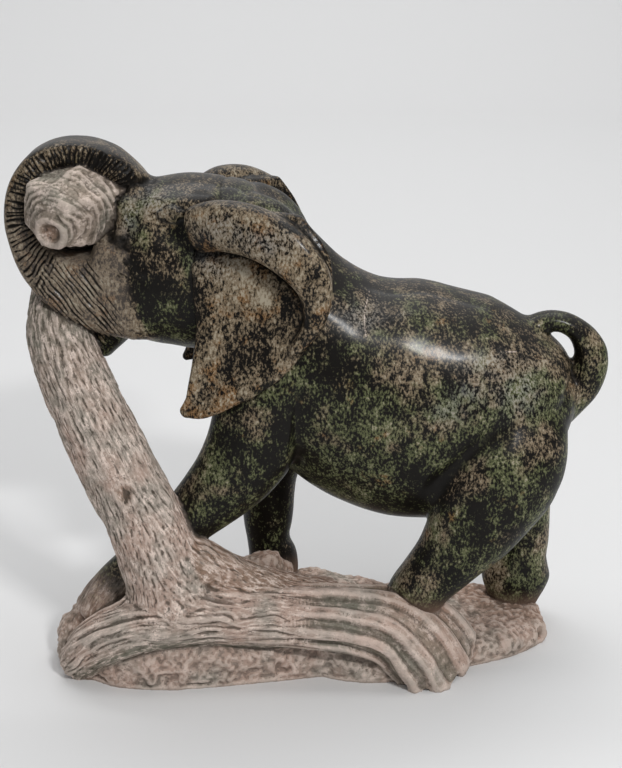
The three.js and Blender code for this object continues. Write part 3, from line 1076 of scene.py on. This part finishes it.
def polished_stone(make, colours, place):
    """Dark stone with upright specks that gather in clumps, its scratches, scuffs, dull feet and shine, with
    painted shade in creases, hollows, grooves and dark spots, and painted sheen on top and in pale spots.
    """
    hollow, warm, green = make.mask("hollow"), make.mask("warm"), make.mask("green")
    dust_and_sheen, tool, sole = make.mask("dust_and_sheen"), make.mask("tool"), make.mask("sole")
    shade, scuff_and_sheen, curl = make.mask("shade"), make.mask("scuff_and_sheen"), make.mask("curl")
    upright = make.stretched(place, UPRIGHT)
    patch = make.noise(place, PATCHES, 2.0)
    blot = make.noise(upright, BLOTS, 3.0, 0.6)
    clump = make.noise(upright, CLUMPS, 6.0, 0.75)
    speck = make.noise(upright, SPECKS, 3.0, 0.65)
    hue = make.noise(place, HUES, 3.0)
    orange = make.noise(place, RUST_SPOTS, 4.0, 0.65)
    # Faces that look down turn olive: partly the stone's own hue, partly a painted green reflection from
    # below.
    brownish = (hue + warm * 0.25 + curl * 0.3 - green * 0.2).step(0.36, 0.56)
    light = make.mix(brownish, rgba(colours.olive), rgba(colours.brown))
    rusty = (orange + warm * 0.09 - 0.06).step(0.54, 0.66)
    light = make.mix(rusty * 0.8, light, rgba(colours.rust_spot))
    level = clump * 0.6 + speck * 0.7 - 0.15 + (patch - 0.5) * 0.35 + (blot - 0.5) * 0.5
    # The level falls with painted shade in the dark spots, on faces that look down, and on top under the
    # painted grey sheen; it rises in the pale spots, which hold scuffs and painted sheen.
    level = level + warm * 0.03 + curl * 0.05 - shade * 0.1 + scuff_and_sheen * 0.08 - green * 0.05 - dust_and_sheen * 0.06
    tone = make.mix(level.step(0.42, 0.60), rgba(colours.dark), light)
    tone = make.mix(level.step(0.58, 0.76), tone, rgba(colours.fleck))
    # Painted grey sheen on faces on top, with some dust.
    tone = make.mix(dust_and_sheen * 0.3, tone, rgba(colours.sheen_and_dust_grey))
    tone = make.mix(curl * 0.32, tone, rgba(colours.grey_brown))
    # Darker in the trunk's grooves by their depth: painted shade.
    tone = make.mix(tool.step(0.15, 0.8) * 0.92, tone, rgba(colours.dark))
    # Darker in creases and hollows: painted shade.
    tone = make.mix(hollow.step(0.60, 0.92) * 0.9, tone, rgba(colours.dark))
    # Grey in the pale spots where the specks are light: scuffs and painted sheen.
    tone = make.mix((scuff_and_sheen * speck.step(0.42, 0.6)) * 0.5, tone, rgba(colours.wear_and_sheen))
    tone = make.mix(sole * (0.3 + clump * 0.8), tone, rgba(colours.foot))
    lines = None
    for line in SCRATCHES:
        for start, stop in zip(line[:-1], line[1:]):
            mark = make.scratch(place, start, stop, SCRATCH_WIDTH)
            lines = mark if lines is None else lines.most(mark)
    front = make.add("ShaderNodeSeparateXYZ", None, {0: place}, out="Y")
    worn = lines * clump.step(0.44, 0.58) * front.step(-0.01, -0.03)
    tone = make.mix(worn * 0.6, tone, rgba(colours.raw_light))
    dull = 0.34 + speck * 0.2 + tool * 0.2 + sole * 0.3
    wax = (0.15 - tool * 0.12 - sole * 0.2 - scuff_and_sheen * 0.1).clamped()
    return tone, dull, wax, speck


def raw_stone(make, colours, place):
    """Pale dull stone with pale and dark cuts along the grain, pits, stains, grey green on the tree's top
    and the stump, lighter ridges, and painted shade in hollows, grey green under the arch and in the flutes.
    """
    hollow, stain, grey_green_and_shade, slab = (make.mask(name) for name in ("hollow", "stain", "grey_green_and_shade", "slab"))
    own, swept = (make.stretched(make.mask(name, "Vector"), FIBRE) for name in ("grain", "swept"))
    patch = make.noise(place, RAW_PATCHES, 3.0)
    clump = make.noise(place, RAW_CLUMPS, 6.0, 0.7)
    grit = make.noise(place, GRITS, 2.0, 0.6)
    cuts, turned = (make.noise(line, CUTS, 3.0, 0.65) for line in (own, swept))
    cuts = cuts + make.mask("fork") * (turned - cuts)
    streak = cuts - slab * (cuts - clump) * 0.8
    tone = make.mix(patch.step(0.36, 0.64), rgba(colours.raw_pink), rgba(colours.raw_grey))
    # Grey green: painted shade under the arch and in the flutes' grooves, and the tone of the tree's top and
    # the stump.
    tone = make.mix(grey_green_and_shade * 0.85, tone, rgba(colours.grey_green_and_shade))
    tone = make.mix((stain * (clump * 1.6 - 0.1)).step(0.05, 0.9) * 0.8, tone, rgba(colours.rust))
    pale = (streak * 0.6 + clump * 0.4).step(0.48, 0.63) * (0.9 - slab * 0.5)
    tone = make.mix(pale, tone, rgba(colours.raw_light))
    dark = (streak * 0.55 + clump * 0.45).step(0.465, 0.36) * (0.92 - slab * 0.4)
    tone = make.mix(dark, tone, rgba(colours.raw_dark))
    tone = make.mix((grit + (clump - 0.5) * 0.5).step(0.58, 0.70) * 0.6, tone, rgba(colours.raw_dark))
    # Lighter on ridges by the surface's bend, and darker in hollows, which is painted shade.
    tone = make.mix((1 - hollow).step(0.6, 0.9) * 0.35, tone, rgba(colours.raw_light))
    tone = make.mix(hollow.step(0.58, 0.9) * (0.75 - slab * 0.3), tone, rgba(colours.raw_dark))
    return tone, grit, cuts


def stone_material(colours):
    """One stone: polished dark and mottled where 'raw' is 0, pale and dull where it is 1."""
    material = bpy.data.materials.new("carved_stone")
    make = Maker(material)
    place = make.add("ShaderNodeTexCoord", out="Object")
    raw = make.mask("raw")
    dark, dull, wax, speck = polished_stone(make, colours, place)
    pale, grit, cuts = raw_stone(make, colours, place)
    relief = raw * (0.5 * (1 - grit) + 0.8 * cuts) + (1 - raw) * speck * 0.05
    bump = make.add("ShaderNodeBump", None, {"Strength": 0.6, "Distance": 0.0007, "Height": relief})
    shader = make.add(
        "ShaderNodeBsdfPrincipled",
        None,
        {
            "Base Color": make.mix(raw, dark, pale),
            "Roughness": raw * 0.85 + (1 - raw) * dull,
            "Normal": bump,
            "IOR": 1.5,
            "Specular IOR Level": 0.09,
            "Coat Weight": (1 - raw) * wax,
            "Coat Roughness": 0.19,
        },
    )
    make.add("ShaderNodeOutputMaterial", None, {"Surface": shader})
    return material


def colour(name, words, default):
    return bpy.props.FloatVectorProperty(
        name=name, description=words, subtype="COLOR", size=3, min=0.0, max=1.0, default=default
    )


def lamp_power(name, words, default):
    return bpy.props.FloatProperty(name=name, description=words, default=default, unit="POWER")


class CarvingSizes(bpy.types.PropertyGroup):
    """Sizes of the carving's surface."""

    voxel: bpy.props.FloatProperty(
        name="Grain",
        description="Size of the surface's squares, in millimetres",
        default=0.75,
        min=0.6,
        max=3.0,
    )
    relief: bpy.props.FloatProperty(
        name="Relief",
        description="Depth of the tool marks, as a share",
        default=1.0,
        max=2.0,
        subtype="FACTOR",
    )
    triangles: bpy.props.IntProperty(
        name="Triangles", description="Most triangles of the finished mesh", default=196000, min=20000
    )


class CarvingColours(bpy.types.PropertyGroup):
    """Colours of the stone."""

    dark: colour("Dark", "Dark body of the polished stone", (0.005, 0.004, 0.003))
    brown: colour("Brown", "Warm specks of the polished stone", (0.2, 0.152, 0.098))
    olive: colour("Olive", "Green specks of the polished stone", (0.112, 0.122, 0.056))
    rust_spot: colour("Rust spot", "Orange brown spots of the polished stone", (0.21, 0.108, 0.04))
    fleck: colour("Fleck", "Lightest specks of the polished stone", (0.36, 0.315, 0.235))
    grey_brown: colour("Grey brown", "Bare stone of the trunk", (0.2, 0.165, 0.14))
    # Grey of faces on top: painted sheen, with some dust.
    sheen_and_dust_grey: colour("Haze", "Wax and dust on top", (0.07, 0.067, 0.065))
    # Grey of the pale spots: scuffs, and painted sheen and highlights.
    wear_and_sheen: colour("Wear", "Scuffed places of the polished stone", (0.28, 0.28, 0.27))
    foot: colour("Foot", "Dull brown of the feet", (0.2, 0.13, 0.095))
    raw_pink: colour("Raw pink", "Raw stone, pinkish", (0.42, 0.305, 0.25))
    raw_grey: colour("Raw grey", "Raw stone, greyer", (0.31, 0.272, 0.23))
    raw_light: colour("Raw light", "Raw stone on ridges", (0.78, 0.65, 0.57))
    raw_dark: colour("Raw dark", "Raw stone in cuts and pits", (0.06, 0.048, 0.037))
    rust: colour("Rust", "Brown stain round the feet", (0.24, 0.14, 0.092))
    # Grey green: painted shade under the arch and in the flutes, and the tone of the tree's top and the
    # stump.
    grey_green_and_shade: colour("Moss", "Grey green of the raw stone's hollows", (0.14, 0.142, 0.108))


class StageSettings(bpy.types.PropertyGroup):
    """Floor, light and camera."""

    floor: colour("Floor", "Colour of the floor and backdrop", (0.72, 0.72, 0.72))
    lens: bpy.props.FloatProperty(
        name="Lens",
        description="Focal length on a 36 mm frame",
        default=70.3,
        min=20,
        subtype="DISTANCE_CAMERA",
    )
    pitch: bpy.props.FloatProperty(
        name="Pitch", description="Downward tilt of the camera", default=math.radians(19.5), subtype="ANGLE"
    )
    key: lamp_power("Key", "Power of the small lamp above", 11.0)
    panel: lamp_power("Panel", "Power of the wide panel above", 8.5)
    wall: lamp_power("Wall", "Power of the backdrop's lamp", 39.0)
    room: bpy.props.FloatProperty(
        name="Room", description="Brightness of the pale room around", default=0.33, min=0
    )


class CARVING_OT_stone(bpy.types.Operator):
    """Build the carved stone over the solid"""

    bl_idname = "carving.stone"
    bl_label = "Carved stone"

    def execute(self, context):
        sizes = context.scene.carving_sizes
        stone = Carving(sizes.voxel)
        height = carve_relief(stone, sizes.relief)
        masks = finish_masks(stone, height)
        mesh = stone_mesh(stone, masks, sizes.triangles)
        mesh.materials.append(stone_material(context.scene.carving_colours))
        piece = bpy.data.objects.new("carved_stone", mesh)
        context.scene.collection.objects.link(piece)
        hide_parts(NODE)
        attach(piece, "root")
        return {"FINISHED"}


def area_light(name, place, target, size, energy):
    data = bpy.data.lights.new(name, "AREA")
    data.shape = "RECTANGLE"
    data.size, data.size_y = size
    data.energy = energy
    light = bpy.data.objects.new(name, data)
    light.location = place
    light.rotation_mode = "QUATERNION"
    light.rotation_quaternion = (Vector(target) - Vector(place)).to_track_quat("-Z", "Y")
    bpy.context.scene.collection.objects.link(light)


def floor_mesh(reach):
    """A floor that bends up into a backdrop."""
    far, bend = FLOOR_FAR * reach, BACKDROP_BEND * reach
    arc = [math.radians(a) for a in range(0, 91, 6)]
    profile = [(-FLOOR_NEAR * reach, 0.0)]
    profile += [(far + bend * math.sin(a), bend * (1 - math.cos(a))) for a in arc]
    profile += [(far + bend, BACKDROP_HIGH * reach)]
    wide = FLOOR_WIDE * reach
    points = [(x, y, z) for y, z in profile for x in (-wide, wide)]
    faces = [(2 * i, 2 * i + 1, 2 * i + 3, 2 * i + 2) for i in range(len(profile) - 1)]
    mesh = bpy.data.meshes.new("floor")
    mesh.from_pydata(points, [], faces)
    mesh.polygons.foreach_set("use_smooth", [True] * len(faces))
    return mesh


def floor_paint(tone):
    paint = bpy.data.materials.new("pale_floor")
    make = Maker(paint)
    sockets = {"Base Color": rgba(tone), "Roughness": 0.9}
    shader = make.add("ShaderNodeBsdfPrincipled", None, sockets)
    make.add("ShaderNodeOutputMaterial", None, {"Surface": shader})
    return paint


def soft_room(strength):
    world = bpy.data.worlds.new("soft_room")
    world.use_nodes = True
    background = world.node_tree.nodes["Background"]
    background.inputs["Color"].default_value = ROOM_TINT
    background.inputs["Strength"].default_value = strength
    return world


def stage_camera(settings):
    data = bpy.data.cameras.new("camera")
    data.sensor_width = FILM_WIDTH
    data.lens = settings.lens
    camera = bpy.data.objects.new("camera", data)
    camera.location = CAMERA_PLACE
    camera.rotation_euler = (math.pi / 2 - settings.pitch, 0.0, 0.0)
    return camera


class CARVING_OT_stage(bpy.types.Operator):
    """Build the floor, the light and the camera"""

    bl_idname = "carving.stage"
    bl_label = "Stage"

    def execute(self, context):
        scene = context.scene
        settings = scene.carving_stage
        low, high = (Vector(c) for c in CAD_BOX)
        centre = (low + high) / 2
        reach = (high - low).length
        mesh = floor_mesh(reach)
        mesh.materials.append(floor_paint(settings.floor))
        floor = bpy.data.objects.new("floor", mesh)
        scene.collection.objects.link(floor)

        scene.world = soft_room(settings.room)
        scene.view_settings.view_transform = "Standard"
        area_light("key", KEY_PLACE, centre, KEY_SIZE, settings.key)
        area_light("panel", PANEL_PLACE, centre, PANEL_SIZE, settings.panel)
        lamp = (0.0, (FLOOR_FAR - WALL_LAMP_BEFORE) * reach, WALL_LAMP_HIGH * reach)
        wall = (0.0, (FLOOR_FAR + BACKDROP_BEND) * reach, WALL_LAMP_AIM * reach)
        area_light("wall_lamp", lamp, wall, WALL_LAMP_SIZE, settings.wall)

        camera = stage_camera(settings)
        scene.collection.objects.link(camera)
        scene.camera = camera
        return {"FINISHED"}


class CARVING_PT_panel(bpy.types.Panel):
    """Sizes, colours and steps of the carving"""

    bl_idname = "CARVING_PT_panel"
    bl_label = "Stone carving"
    bl_space_type = "VIEW_3D"
    bl_region_type = "UI"
    bl_category = "Carving"

    def draw(self, context):
        for group in ("carving_sizes", "carving_colours", "carving_stage"):
            settings = getattr(context.scene, group)
            for key in settings.__annotations__:
                self.layout.prop(settings, key)
        self.layout.operator("carving.stone")
        self.layout.operator("carving.stage")


CLASSES = (
    CarvingSizes,
    CarvingColours,
    StageSettings,
    CARVING_OT_stone,
    CARVING_OT_stage,
    CARVING_PT_panel,
)
GROUPS = {
    "carving_sizes": CarvingSizes,
    "carving_colours": CarvingColours,
    "carving_stage": StageSettings,
}


def register():
    for cls in CLASSES:
        bpy.utils.register_class(cls)
    for key, cls in GROUPS.items():
        setattr(bpy.types.Scene, key, bpy.props.PointerProperty(type=cls))


def unregister():
    for key in GROUPS:
        delattr(bpy.types.Scene, key)
    for cls in reversed(CLASSES):
        bpy.utils.unregister_class(cls)


def main():
    register()
    bpy.ops.carving.stone()
    bpy.ops.carving.stage()


if __name__ == "__main__":
    main()
